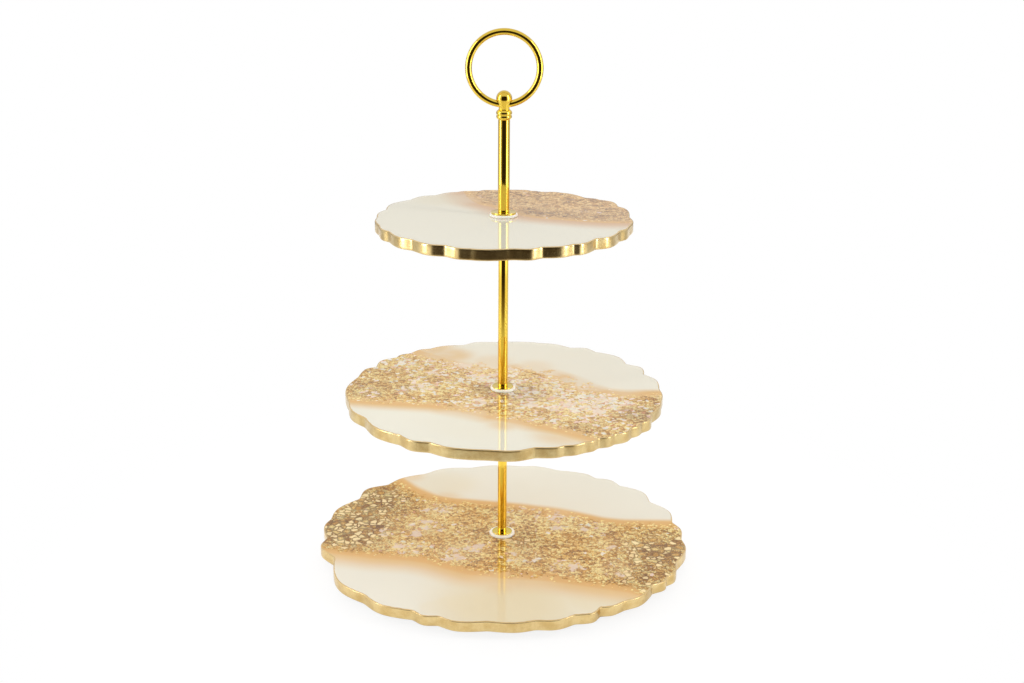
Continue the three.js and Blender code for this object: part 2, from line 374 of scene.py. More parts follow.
# How each plate is poured, in plan millimetres. A border is where the flake band meets the
# ivory: points listed from left to right, with the flakes on the front side of "back" and on
# the back side of "front". A glow is how far the peach stain fades out into the ivory, and a
# seam is how wide the amber line along the border is. Spots are soft blobs of (x, y, radius,
# strength): "warm" tints the ivory, "blush" stains it peach, "loose" lets the flakes scatter
# at the border without an amber line, "clear" thins the flakes out to pearly resin, and
# "shade" makes them darker. "chips" is how much of the shade has coarse flakes, "bits" the
# share of pale and pink flakes, "pearl" how readily the pearly patches form, and "rose" and
# "lift" how rosy and light the flakes are. "flake" is their size, and "ground" the resin's
# colour between them.
# In each pour's shade spots, those close round the column are painted shade at its foot; the rest
# mark darker, coarser flakes.
POURS = {
    "lower": {
        "back": [(-150, 150), (-108, 132), (-92, 112), (-80, 92), (-61, 74), (-43, 67), (-6, 60),
                 (18, 55), (49, 47), (67, 38), (86, 28), (104, 24), (160, 23)],
        "front": [(-160, -28), (-134, -37), (-104, -45), (-73, -49), (-58, -54), (-43, -63),
                  (-27, -72), (6, -79), (37, -82), (67, -91), (98, -100), (125, -118)],
        "back_glow": 8, "front_glow": 28, "back_seam": 3, "front_seam": 4,
        "warm": [(5, -118, 58, 1.0), (75, -100, 42, 0.9), (-55, 100, 30, 0.5)],
        "blush": [(-88, 120, 16, 0.6), (-50, 68, 14, 0.5), (-88, 60, 18, 0.4), (0, -84, 18, 0.5)],
        "loose": [(10, -80, 30, 0.4), (40, 45, 25, 0.3)],
        "clear": [(-54, 46, 16, 0.9), (-66, 12, 20, 0.85), (-72, -28, 16, 0.9),
                  (-34, -34, 24, 0.85), (50, 26, 22, 0.8), (77, 13, 18, 0.7), (20, -42, 18, 0.6),
                  (90, -60, 16, 0.7), (50, -62, 16, 0.7), (-95, -25, 12, 0.6),
                  (20, 34, 28, 0.65), (90, -18, 18, 0.4), (-60, 0, 50, 0.35)],
        "shade": [(-130, 10, 40, 1.0), (-112, 60, 34, 0.9), (134, -35, 38, 0.9),
                  (115, -78, 26, 0.7), (18, -10, 20, 0.5), (-20, 0, 14, 0.4)],
        "chips": 1.0, "bits": 0.04, "pearl": 0.35, "rose": 0.0, "lift": 0.05, "flake": 2.2,
        "ground": srgb(208, 158, 80), "peach": srgb(215, 179, 124),
        "pearls": (srgb(203, 199, 190), srgb(216, 196, 180)),
        "ivory": srgb(222, 218, 204),
    },
    "middle": {
        "back": [(-110, 150), (-82, 104), (-62, 88), (-41, 70), (-25, 62), (-5, 60), (28, 56),
                 (44, 42), (60, 25), (72, 8), (84, -4), (100, -7), (135, -6)],
        "front": [(-135, -28), (-101, -35), (-75, -39), (-54, -42), (-36, -51), (-10, -65),
                  (16, -78), (41, -92), (62, -107), (90, -130)],
        "back_glow": 10, "front_glow": 17, "back_seam": 1.5, "front_seam": 4,
        "warm": [(70, -90, 30, 0.6)],
        "blush": [(-68, 100, 26, 0.9), (-46, 84, 20, 0.8), (-10, 68, 18, 0.35), (26, 56, 16, 0.3),
                  (44, -98, 22, 0.6), (60, -86, 16, 0.5), (2, -76, 14, 0.6)],
        "loose": [(-50, 76, 30, 0.7), (-15, 60, 34, 1.0), (30, 48, 30, 1.0), (62, 14, 22, 1.0),
                  (76, 2, 10, 0.7), (96, -7, 16, 0.5), (-28, -56, 20, 0.6), (4, -74, 20, 0.4)],
        "clear": [(-83, 63, 9, 0.9), (-56, 40, 10, 0.7), (-35, 60, 11, 1.0), (-23, 46, 10, 0.9),
                  (-13, 22, 13, 1.0), (-63, 3, 10, 1.0), (38, 20, 12, 0.9), (42, 4, 12, 0.8),
                  (58, -40, 13, 1.0), (20, -34, 10, 0.8), (75, -48, 12, 0.8), (-23, -32, 11, 0.9),
                  (66, -62, 8, 0.5), (-80, -5, 8, 0.6), (5, 40, 14, 0.7), (15, 20, 13, 0.7),
                  (50, -22, 50, 0.6), (70, -25, 26, 0.75), (88, -38, 16, 0.75),
                  (-20, 45, 40, 0.45), (-75, 60, 30, 0.3)],
        "shade": [(14, -8, 20, 0.8), (-15, -2, 11, 0.7), (-75, 2, 10, 0.5), (108, -55, 18, 0.9),
                  (-112, -5, 20, 0.5), (62, -88, 16, 0.5)],
        "chips": 0.0, "bits": 0.5, "pearl": 0.3, "rose": 0.0, "lift": 0.09, "flake": 2.0,
        "ground": srgb(220, 182, 118), "peach": srgb(213, 176, 116),
        "pearls": (srgb(214, 212, 194), srgb(222, 204, 184)),
        "ivory": srgb(222, 219, 204),
    },
    "upper": {
        "back": [(-200, 400), (200, 400)],
        "front": [(-60, 170), (-36, 112), (-33, 86), (-28, 60), (-20, 42), (-11, 33), (0, 16),
                  (13, 2), (23, -6), (43, -13), (60, -19), (77, -23), (115, -24)],
        "back_glow": 10, "front_glow": 27, "back_seam": 3, "front_seam": 1,
        "warm": [(-50, 60, 25, 0.4)],
        "blush": [(-26, 68, 14, 0.7)],
        "loose": [(-30, 64, 18, 0.5)],
        "clear": [(-2, 62, 9, 0.6), (30, 38, 9, 0.4), (62, 20, 10, 0.4)],
        "shade": [(24, 14, 20, 0.6), (0, 60, 22, 0.4), (84, -6, 26, 0.5), (50, -2, 18, 0.7),
                  (-10, 80, 14, 0.5)],
        "chips": 0.0, "bits": 0.05, "pearl": 0.42, "rose": 0.5, "lift": 0.07, "flake": 2.8,
        "ground": srgb(206, 162, 102),
        "peach": srgb(205, 165, 124), "pearls": (srgb(216, 202, 184), srgb(222, 196, 176)),
        "ivory": srgb(222, 217, 199),
    },
}
CREAM = srgb(217, 204, 172)
AMBER = srgb(212, 167, 99)
# Flake tones from dark brown to a pale top tone, which is partly a painted glint.
FLAKE_TONES_AND_GLINT = [srgb(118, 72, 12), srgb(190, 135, 44), srgb(231, 179, 84), srgb(255, 234, 158)]
ROSE = srgb(206, 156, 104)
BIT_TONES = [srgb(231, 232, 216), srgb(252, 246, 234), srgb(250, 220, 208), srgb(208, 136, 76)]
# The brown of the grooves between flakes; it also darkens the shade spots, which close round the
# column is painted shade.
GROOVE_AND_SHADE_BROWN = srgb(94, 58, 14)
# Pale crystals among the coarse flakes, partly a painted glint.
CRYSTAL_GLINT = srgb(255, 232, 176)
GILT_LAP = srgb(204, 176, 124)
COARSE_FLAKE = 5.4 * MM
BIT_SIZE = 3.3 * MM


def poured_resin(s, pour, inside, loose, stain):
    """The resin without flakes: ivory, tinted in places, stained peach and amber at the borders."""
    drift = s.math("MULTIPLY", s.math("SUBTRACT", s.noise(14.0, 3.0), 0.5), 0.5)
    tint = s.math("ADD", s.attribute("warm"), drift, clamp=True)
    colour = s.mix(s.math("MULTIPLY", tint, 0.9), pour["ivory"], CREAM)
    colour = s.mix(stain, colour, pour["peach"])
    back_seam = s.smooth(s.attribute("back"), -pour["back_seam"] * MM, 1 * MM)
    front_seam = s.smooth(s.attribute("front"), -pour["front_seam"] * MM, 1 * MM)
    seam = s.math("MINIMUM", back_seam, front_seam)
    seam = s.math("MULTIPLY", seam, s.smooth(inside, -8 * MM, 2 * MM))
    seam = s.math("MULTIPLY", seam, s.math("SUBTRACT", 1.0, loose))
    return s.mix(s.math("MULTIPLY", seam, 0.9), colour, AMBER)


def flake_layer(s, place, size, lift, groove, contrast):
    """One mosaic of crinkled flakes: their size, how much lighter they are, the share of the
    size that the grooves between them take, and how dark those are. Returns the flakes' colour,
    their luck and their cells."""
    cells = s.cells(1 / size, place)
    tone, luck, _ = s.parts(cells)
    crinkle = s.noise(1 / (0.9 * MM), 3.0, 0.6, place=place)
    light = s.math("ADD", s.math("MULTIPLY", tone, 0.45), s.math("MULTIPLY", crinkle, 1.1))
    light = s.math("ADD", light, lift)
    # the lightest, most crinkled flakes reach the top tone, partly a painted glint
    stops = list(zip((0.5, 0.68, 0.86, 1.0), FLAKE_TONES_AND_GLINT))
    colour = s.ramp(light, stops)
    gap = s.smooth(s.cells(1 / size, place, "DISTANCE_TO_EDGE", "Distance"), groove, 0.02)
    return s.mix(s.math("MULTIPLY", gap, contrast), colour, GROOVE_AND_SHADE_BROWN), luck, cells


def band_borders(s, pour, loose):
    """How far inside the flake band's wandering borders a point is, and how strongly the resin
    is stained peach there."""
    wander = s.math("MULTIPLY", s.math("SUBTRACT", s.noise(30.0, 4.0, 0.6), 0.5), 9 * MM)
    edges = s.math("MINIMUM", s.attribute("back"), s.attribute("front"))
    inside = s.math("ADD", edges, wander)
    stain = s.math("MINIMUM",
                   s.smooth(s.attribute("back"), -pour["back_glow"] * MM, 0.0),
                   s.smooth(s.attribute("front"), -pour["front_glow"] * MM, 0.0))
    smoky = s.smooth(s.noise(24.0, 3.0), -0.1, 0.5)
    stain = s.math("MULTIPLY", stain, s.math("SUBTRACT", 1.0, s.math("MULTIPLY", loose, 0.7)))
    stain = s.math("MAXIMUM", stain, s.math("MULTIPLY", s.attribute("blush"), smoky))
    return inside, stain


def pale_bits(s, pour, place, clear, colour):
    """Adds pale, pink and rusty bits to the flakes, in clusters where the band is clear."""
    hue, luck, _ = s.parts(s.cells(1 / BIT_SIZE, place))
    bit_colour = s.ramp(hue, list(zip((0.1, 0.45, 0.7, 0.95), BIT_TONES)))
    bits = s.math("MULTIPLY", s.math("ADD", s.math("MULTIPLY", clear, 1.1), 0.22), pour["bits"])
    is_bit = s.math("GREATER_THAN", luck, s.math("SUBTRACT", 1.0, bits))
    grain = s.smooth(s.noise(600.0, 3.0, 0.6), 0.35, 0.45)
    is_bit = s.math("MULTIPLY", is_bit, grain)
    return s.mix(s.math("MULTIPLY", is_bit, 0.9), colour, bit_colour)


def pearly_patches(s, pour, band, clear, luck, colour):
    """Adds pearly patches with soft, ragged edges, some cool and some pink. Returns the colour
    and how pearly it is."""
    patch = s.math("ADD", s.math("MULTIPLY", s.noise(75.0, 4.0, 0.6), 1.6),
                   s.math("MULTIPLY", luck, 0.15))
    patch = s.math("ADD", patch, s.math("MULTIPLY", clear, pour["pearl"]))
    pearl = s.math("MULTIPLY", s.smooth(patch, 1.16, 1.3), band)
    milky = s.math("MULTIPLY", band, s.math("MULTIPLY", clear, 0.15))
    pearl_colour = s.mix(s.smooth(s.noise(75.0, 1.0), 0.45, 0.6), *pour["pearls"])
    milky = s.math("MAXIMUM", milky, s.math("MULTIPLY", pearl, 0.9))
    return s.mix(milky, colour, pearl_colour), pearl


def resin_material(tier):
    """Cast resin with a band of gold flakes under a clear coat. The band is broken by pearly
    patches, and its flakes are coarse and dark in the shade spots; close round the column that
    darkening is painted shade."""
    pour = POURS[tier]
    s = Shader(f"{tier}_resin_cast")
    rim, shade, loose, clear = (s.attribute(name) for name in ("rim", "shade", "loose", "clear"))
    inside, stain = band_borders(s, pour, loose)
    colour = poured_resin(s, pour, inside, loose, stain)

    # the band: brown-gold ground, and flakes that thin out towards its borders
    fray = s.math("MULTIPLY", s.math("SUBTRACT", s.noise(190.0, 3.0, 0.6), 0.5), 8 * MM)
    scatter = s.math("MULTIPLY", s.math("SUBTRACT", s.noise(75.0, 4.0, 0.65), 0.52), 100 * MM)
    depth = s.math("ADD", s.math("ADD", inside, fray), s.math("MULTIPLY", loose, scatter))
    band = s.smooth(depth, 0.0, 12 * MM)
    colour = s.mix(s.math("MULTIPLY", band, 0.9), colour, pour["ground"])
    warp = s.vector("SCALE", s.noise(140.0, 2.0, output="Color"), scale=5 * MM)
    place = s.vector("ADD", s.place, warp)
    contrast = s.math("ADD", s.math("MULTIPLY", shade, 0.4), 0.28, clamp=True)
    drift = s.math("MULTIPLY", s.math("SUBTRACT", s.noise(60.0, 3.0), 0.5), 0.5)
    lift = s.math("ADD", drift, s.math("MULTIPLY", s.math("SUBTRACT", 1.0, band), 0.15))
    lift = s.math("ADD", lift, s.math("ADD", s.math("MULTIPLY", clear, 0.1), pour["lift"]))
    fine_colour, fine_luck, fine = flake_layer(s, place, pour["flake"] * MM, lift, 0.16, contrast)
    fine_colour = s.mix(pour["rose"], fine_colour, ROSE, "COLOR")
    fine_colour = pale_bits(s, pour, place, clear, fine_colour)

    # coarse flakes in the shade, some of them bright crystals, their brightness partly a painted
    # glint
    coarse_colour, coarse_luck, coarse = flake_layer(s, place, COARSE_FLAKE, lift, 0.28, contrast)
    edge_distance = s.cells(1 / COARSE_FLAKE, place, "DISTANCE_TO_EDGE", "Distance")
    body = s.smooth(edge_distance, 0.06, 0.18)
    crystal_glint = s.math("MULTIPLY", s.math("LESS_THAN", coarse_luck, 0.35), body)
    chips = s.math("GREATER_THAN", s.math("MULTIPLY", shade, pour["chips"]),
                   s.math("ADD", s.math("MULTIPLY", coarse_luck, 0.75), 0.3))
    flake_colour = s.mix(chips, fine_colour, coarse_colour)
    luck = s.blend(chips, fine_luck, coarse_luck)
    dense = s.math("ADD", s.math("MULTIPLY", loose, 14 * MM), 16 * MM)
    present = s.math("GREATER_THAN", s.smooth(depth, -1 * MM, dense), luck)
    colour = s.mix(present, colour, flake_colour)
    # pile darkens the flakes where they lie thicker; the shade spots darken them more, which close
    # round the column is painted shade and elsewhere darker flakes
    pile = s.smooth(s.noise(40.0, 3.0), 0.3, 0.7)
    darker = s.math("MULTIPLY", band, s.math("ADD", s.math("MULTIPLY", shade, 0.18),
                                             s.math("MULTIPLY", pile, 0.08)))
    colour = s.mix(darker, colour, GROOVE_AND_SHADE_BROWN)
    crystal_glint = s.math("MULTIPLY", s.math("MULTIPLY", crystal_glint, chips), present)
    colour = s.mix(s.math("MULTIPLY", crystal_glint, 0.8), colour, CRYSTAL_GLINT)
    colour, pearl = pearly_patches(s, pour, band, clear, fine_luck, colour)

    # the gilt paint laps a little over the top edge
    lap = s.math("ADD", s.math("MULTIPLY", s.noise(300.0, 3.0), 1.2 * MM), 0.4 * MM)
    lapped = s.math("LESS_THAN", rim, lap)
    colour = s.mix(lapped, colour, GILT_LAP)

    # each flake lies at its own small tilt under the flat coat
    shown = s.math("MULTIPLY", present, s.math("SUBTRACT", 1.0, pearl))
    tilt = s.vector("SUBTRACT", s.mix(chips, fine, coarse), (0.5, 0.5, 0.5))
    tilt = s.vector("SCALE", tilt, scale=s.math("MULTIPLY", shown, 0.7))
    flat = s.add("ShaderNodeNewGeometry").outputs["Normal"]
    metal = s.math("MAXIMUM", s.math("MULTIPLY", shown, 0.3), s.math("MULTIPLY", lapped, 0.4))
    s.set(Base_Color=colour,
          Metallic=metal,
          Roughness=s.blend(lapped, s.blend(shown, 0.3, 0.36), 0.6),
          Normal=s.vector("NORMALIZE", s.vector("ADD", flat, tilt)),
          Coat_Weight=1.0,
          Coat_Roughness=0.015,
          Coat_IOR=1.5,
          Specular_IOR_Level=0.0)
    return s.material


# ---------------------------------------------------------------- plates

def plate_outline(node):
    """The radius of a plate's edge at each of EDGE_COLUMNS angles: a smooth curve through the
    CAD mesh's edge points."""
    mesh = NODES[node].data
    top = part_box(node)[1].z
    points = np.array([v.co for v in mesh.vertices], float)
    points = points[np.abs(points[:, 2] - top) < 0.01 * MM]
    past_bore = np.hypot(points[:, 0], points[:, 1]) > 20 * MM
    points = points[past_bore]
    angles = np.round(np.arctan2(points[:, 1], points[:, 0]), 6)
    angles, first = np.unique(angles, return_index=True)
    radii = np.hypot(points[first, 0], points[first, 1])
    turn = 2 * math.pi
    angles = np.concatenate([angles[-2:] - turn, angles, angles[:2] + turn])
    radii = np.concatenate([radii[-2:], radii, radii[:2]])
    slopes = np.gradient(radii, angles)
    wanted = -math.pi + turn * np.arange(EDGE_COLUMNS) / EDGE_COLUMNS
    left = np.searchsorted(angles, wanted, side="right") - 1
    step = angles[left + 1] - angles[left]
    t = (wanted - angles[left]) / step
    radius = ((2 * t**3 - 3 * t**2 + 1) * radii[left]
              + (t**3 - 2 * t**2 + t) * step * slopes[left]
              + (3 * t**2 - 2 * t**3) * radii[left + 1]
              + (t**3 - t**2) * step * slopes[left + 1])
    return wanted, radius


def border_distance(x, y, points):
    """Distance from each (x, y) to a border through the points, positive on its front side."""
    points = np.array(points, float) * MM
    along = np.linspace(points[0, 0], points[-1, 0], 600)
    border = np.interp(along, points[:, 0], points[:, 1])
    window = np.hanning(31)
    border = np.convolve(np.pad(border, 15, "edge"), window / window.sum(), "valid")
    nearest = np.full(len(x), np.inf)
    for border_x, border_y in zip(along, border):
        nearest = np.minimum(nearest, np.hypot(x - border_x, y - border_y))
    return np.where(y < np.interp(x, along, border), nearest, -nearest)


def spot_strength(x, y, spots):
    """How strongly soft blobs of (x, y, radius, strength), in millimetres, cover each (x, y)."""
    total = np.zeros(len(x))
    for spot_x, spot_y, radius, strength in spots:
        distance = np.hypot(x - spot_x * MM, y - spot_y * MM) / (radius * MM)
        total = np.maximum(total, strength * np.exp(-distance ** 4))
    return total


def plate_rows(top, bottom):
    """The rows of a plate's mesh, from the hole over the top face and round the edge back to the
    hole. Each row is (share, inset, z, material): its radius is the hole's plus that share of
    the way to the edge, less the inset. The material is 0 for resin and 1 for gilt."""
    resin, gilt = 0, 1
    bevel, corner, foot = 0.3 * MM, 0.9 * MM, 0.7 * MM
    face_steps, corner_steps, side_steps, foot_steps = 30, 6, 6, 4
    gilt_from = 5
    lip = 3 * MM
    rows = [(0.0, 0.0, top - 4 * MM, resin), (0.0, 0.0, top - bevel, resin),
            (0.0, -bevel, top, resin)]
    for step in range(1, face_steps + 1):
        share = step / face_steps
        rows.append((share, lip * step / face_steps, top, resin))
    rows += [(1.0, 2.2 * MM, top + 0.05 * MM, resin), (1.0, 1.5 * MM, top + 0.04 * MM, resin)]
    for step in range(corner_steps + 1):
        angle = math.pi / 2 * step / corner_steps
        inset = corner * (1 - math.sin(angle))
        z = top - corner * (1 - math.cos(angle))
        rows.append((1.0, inset, z, resin if step < gilt_from else gilt))
    for step in range(1, side_steps):
        z = top - corner + (bottom + foot - top + corner) * step / side_steps
        rows.append((1.0, 0.0, z, gilt))
    for step in range(foot_steps + 1):
        angle = math.pi / 2 * step / foot_steps
        z = bottom + foot * (1 - math.sin(angle))
        rows.append((1.0, foot * (1 - math.cos(angle)), z, gilt))
    rows += [(1.0, 2 * MM, bottom, resin), (0.66, 0.0, bottom, resin), (0.33, 0.0, bottom, resin)]
    rows += [(0.0, -bevel, bottom, resin), (0.0, 0.0, bottom + bevel, resin)]
    return rows


def cast_plate(tier):
    """A plate, with fields on its points for the resin: how far in from the rim a point is, its
    distance from the flake band's borders, and the strength of the pour's spots there."""
    node = f"{tier}_plate"
    angles, radii = plate_outline(node)
    low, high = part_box(node)
    rows = plate_rows(high.z, low.z)
    bm = bmesh.new()
    pour = POURS[tier]
    fields = ("rim", "back", "front", "warm", "blush", "loose", "clear", "shade")
    layers = [bm.verts.layers.float.new(field) for field in fields]
    grid = []
    for share, inset, z, _ in rows:
        reach = PLATE_BORE + (radii - PLATE_BORE) * share - inset
        x, y = reach * np.cos(angles), reach * np.sin(angles)
        values = np.stack([np.maximum(0.0, radii - reach),
                           border_distance(x, y, pour["back"]),
                           -border_distance(x, y, pour["front"]),
                           *(spot_strength(x, y, pour[field]) for field in fields[3:])], 1)
        row = []
        for column in range(EDGE_COLUMNS):
            vertex = bm.verts.new((x[column], y[column], z))
            for layer, value in zip(layers, values[column]):
                vertex[layer] = value
            row.append(vertex)
        grid.append(row)
    for index, row in enumerate(grid):
        following = grid[(index + 1) % len(grid)]
        material = max(rows[index][3], rows[(index + 1) % len(rows)][3])
        for column in range(EDGE_COLUMNS):
            right = (column + 1) % EDGE_COLUMNS
            face = bm.faces.new((row[column], row[right], following[right], following[column]))
            face.material_index = material
    piece = mesh_object(f"{tier}_plate_cast", bm, 60)
    piece.data.materials.append(resin_material(tier))
    piece.data.materials.append(GILT[tier])
    return dress(piece, node, None)


# ---------------------------------------------------------------- column

def extent(node):
    """A turned CAD node's (radius, bottom, top)."""
    low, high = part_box(node)
    return (high.x - low.x) / 2, low.z, high.z


def washer(node, material, fillet):
    radius, bottom, top = extent(node)
    return dress(turned(f"{node}_fine", [
        (WASHER_BORE, bottom, fillet / 2), (radius, bottom, fillet),
        (radius, top, fillet), (WASHER_BORE, top, fillet / 2)], closed=True), node, material)


def rod(node, material):
    radius, bottom, top = extent(node)
    edge = 0.35 * MM
    return dress(turned(f"{node}_fine", [
        (0, bottom + TAPPED_DEPTH), (TAPPED_RADIUS, bottom + TAPPED_DEPTH), (TAPPED_RADIUS, bottom),
        (radius, bottom, edge), (radius, top, edge),
        (TAPPED_RADIUS, top), (TAPPED_RADIUS, top - TAPPED_DEPTH), (0, top - TAPPED_DEPTH)]),
        node, material)


def collar(material):
    """Two plump beads on one sleeve. A bead is (share of the height, peak, lower waist, upper
    waist), its radii less than the collar's by millimetres."""
    radius, bottom, top = extent("bead_collar")
    lower_bead, upper_bead = (0.473, 0.15, 1.25, 0.55), (0.527, 0.0, 0.55, 1.45)
    steps, plumpness = 12, 0.8
    corners = [(WASHER_BORE, bottom)]
    low = bottom
    for share, peak, start, end in (lower_bead, upper_bead):
        height = share * (top - bottom)
        for step in range(steps + 1):
            along = step / steps
            waist = start + (end - start) * along
            swell = math.sin(math.pi * along) ** plumpness if 0 < step < steps else 0.0
            reach = radius - (waist + (peak - (start + end) / 2) * swell) * MM
            corners.append((min(reach, radius), low + height * along))
        low += height
    corners.append((WASHER_BORE, top))
    corners = [c for i, c in enumerate(corners) if i == 0 or c != corners[i - 1]]
    return dress(turned("bead_collar_fine", corners, closed=True), "bead_collar", material)


def finial(material):
    """A ball on a short tapered neck, with the hole that the ring runs through bored across it."""
    radius, stub, top = extent("finial")
    centre = top - radius
    neck_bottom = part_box("bead_collar")[1].z
    neck, neck_top_drop, thread = 4.1 * MM, 2.9 * MM, 2 * MM
    corners = [(0, stub), (thread, stub, 0.3 * MM), (thread, neck_bottom),
               (neck, neck_bottom, 0.2 * MM)]
    start = -math.asin(neck_top_drop / radius)
    steps = 24
    for step in range(steps + 1):
        angle = start + (math.pi / 2 - start) * step / steps
        reach = radius * math.cos(angle) if step < steps else 0
        corners.append((reach, centre + radius * math.sin(angle)))
    ball = turned("finial_fine", corners)
    ring_low, ring_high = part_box("ring_handle")
    hole = Matrix.Translation((0, 0, ring_low.z + (ring_high.y - ring_low.y) / 2))
    bm = bmesh.new()
    bmesh.ops.create_cone(bm, cap_ends=True, segments=64, radius1=RING_HOLE_RADIUS,
                          radius2=RING_HOLE_RADIUS, depth=4 * radius,
                          matrix=hole @ Matrix.Rotation(math.pi / 2, 4, "Y"))
    drill = mesh_object("drill", bm)
    boring = ball.modifiers.new("boring", "BOOLEAN")
    boring.operation = "DIFFERENCE"
    boring.object = drill
    boring.solver = "EXACT"
    evaluated = ball.evaluated_get(bpy.context.evaluated_depsgraph_get())
    bored = bpy.data.meshes.new_from_object(evaluated)
    ball.modifiers.clear()
    ball.data = bored
    bpy.data.objects.remove(drill)
    ball.data.set_sharp_from_angle(angle=math.radians(40))
    return dress(ball, "finial", material)


def ring(material):
    """The ring: round wire bent to a circle, in the XZ plane."""
    low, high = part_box("ring_handle")
    wire = (high.y - low.y) / 2
    centre = (low + high) / 2
    reach = (high.x - low.x) / 2 - wire
    around, across = 160, 40
    bm = bmesh.new()
    hoops = []
    for i in range(around):
        a = 2 * math.pi * i / around
        hoop = []
        for j in range(across):
            b = 2 * math.pi * j / across
            out = reach + wire * math.cos(b)
            offset = Vector((out * math.cos(a), wire * math.sin(b), out * math.sin(a)))
            hoop.append(bm.verts.new(centre + offset))
        hoops.append(hoop)
    for i in range(around):
        ahead = hoops[(i + 1) % around]
        for j in range(across):
            k = (j + 1) % across
            bm.faces.new((hoops[i][j], hoops[i][k], ahead[k], ahead[j]))
    return dress(mesh_object("ring_handle_fine", bm), "ring_handle", material)


def foot(node, material):
    """A bumper foot: a short dome with a flat tread."""
    low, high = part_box(node)
    radius = (high.x - low.x) / 2
    height = high.z - low.z
    piece = turned(f"{node}_fine", [
        (0, low.z + 0.4 * MM), (3.2 * MM, low.z + 0.4 * MM, 0.3 * MM), (3.8 * MM, low.z, 0.2 * MM),
        (radius - 1.6 * MM, low.z, 1.2 * MM), (radius, low.z + 0.45 * height, 2 * MM),
        (radius, high.z), (0, high.z)])
    piece.data.transform(Matrix.Translation(((low.x + high.x) / 2, (low.y + high.y) / 2, 0)))
    return dress(piece, node, material)


# ---------------------------------------------------------------- studio

# The azimuth over which a card's sides fade away, in degrees
CARD_FADE = 5
Y_AXIS, Z_AXIS = 1, 2


def glow_card(name, corners, stops, reach, middle, half):
    """A card that shows only in reflections. Its brightness follows stops of (share, level)
    along reach: (axis, from, to), in metres. Its sides fade away at half degrees of azimuth to
    either side of the middle."""
    bm = bmesh.new()
    bm.faces.new([bm.verts.new(corner) for corner in corners])
    card = mesh_object(name, bm)
    s = Shader(name)
    axis, start, end = reach
    along = s.smooth(s.parts(s.place)[axis], start, end)
    glow = s.emission(s.ramp(along, [(at, (*level, 1.0)) for at, level in stops]))
    turn = math.radians(middle)
    ahead = s.vector("DOT_PRODUCT", s.place, (math.sin(turn), -math.cos(turn), 0))
    aside = s.vector("DOT_PRODUCT", s.place, (math.cos(turn), math.sin(turn), 0))
    off = s.math("ABSOLUTE", s.math("ARCTAN2", aside, ahead))
    shown = s.smooth(off, math.radians(half + CARD_FADE), math.radians(half - CARD_FADE))
    s.surface(s.mix_shaders(shown, s.transparent(), glow))
    card.data.materials.append(s.material)
    card.visible_camera = False
    card.visible_diffuse = False
    card.visible_shadow = False
    card.visible_transmission = False


def pale_floor():
    """A floor that fades to plain white away from the stand, and there is a little dim in
    reflections. From below it can be seen through."""
    bpy.ops.mesh.primitive_circle_add(vertices=128, radius=14, fill_type="NGON")
    floor = bpy.context.object
    floor.name = "floor"
    s = Shader("floor_pale")
    s.set(Base_Color=s.mix(s.noise(3.0, 2.0), srgb(252, 252, 252), srgb(249, 249, 249)),
          Roughness=0.8, Specular_IOR_Level=0.1)
    reach = s.vector("LENGTH", s.place)
    far = s.smooth(reach, 0.14, 0.4, 0.85, 1.0)
    dim = s.smooth(reach, 0.18, 0.36, 0.0, 0.25)
    rays = s.add("ShaderNodeLightPath").outputs
    below = s.add("ShaderNodeNewGeometry").outputs["Backfacing"]
    dimmed = s.mix_shaders(s.math("MULTIPLY", rays["Is Glossy Ray"], dim),
                           s.principled.outputs[0], None)
    whitened = s.mix_shaders(s.math("MULTIPLY", far, rays["Is Camera Ray"]), dimmed, s.emission())
    s.surface(s.mix_shaders(below, whitened, s.transparent()))
    floor.data.materials.append(s.material)


def white_sky(level):
    """Plain white where the camera sees it, and a soft even sky for the light it gives."""
    world = bpy.data.worlds.new("white_sky")
    bpy.context.scene.world = world
    world.use_nodes = True
    nodes = world.node_tree.nodes
    seen = nodes.new("ShaderNodeLightPath").outputs["Is Camera Ray"]
    strength = nodes.new("ShaderNodeMix")
    strength.data_type = "FLOAT"
    world.node_tree.links.new(seen, strength.inputs[0])
    strength.inputs[2].default_value = level
    strength.inputs[3].default_value = 1.0
    world.node_tree.links.new(strength.outputs[0], nodes["Background"].inputs["Strength"])
    nodes["Background"].inputs["Color"].default_value = (1.0, 1.0, 1.0, 1.0)


def soft_box(name, azimuth, distance, width, bottom, top, watts):
    """An upright light that faces the stand. Azimuth is in degrees from the front, positive to
    the right; bottom and top are heights."""
    light = bpy.data.lights.new(name, "AREA")
    light.shape = "RECTANGLE"
    light.size, light.size_y = width, top - bottom
    light.energy = watts
    box = bpy.data.objects.new(name, light)
    bpy.context.scene.collection.objects.link(box)
    turn = math.radians(azimuth)
    box.location = (distance * math.sin(turn), -distance * math.cos(turn), (bottom + top) / 2)
    box.rotation_euler = (math.radians(90), 0, turn)
    box.visible_camera = False
    return box


def upright_corners(left, right, top):
    """The corners of an upright card between two (x, y) feet."""
    return [(*left, 0), (*right, 0), (*right, top), (*left, top)]


def wall_glow(name, middle):
    """A bright patch of wall under a soft box, brighter towards its top."""
    top, distance, half, past = 0.13, 0.88, 26, 31
    feet = [(distance * math.sin(turn), -distance * math.cos(turn))
            for turn in (math.radians(middle - past), math.radians(middle + past))]
    stops = [(0.0, (1.1, 1.04, 0.9)), (0.5, (1.1, 1.04, 0.9)), (0.68, (1.6, 1.56, 1.45))]
    glow_card(name, upright_corners(*feet, top), stops, (Z_AXIS, 0.0, top), middle, half)


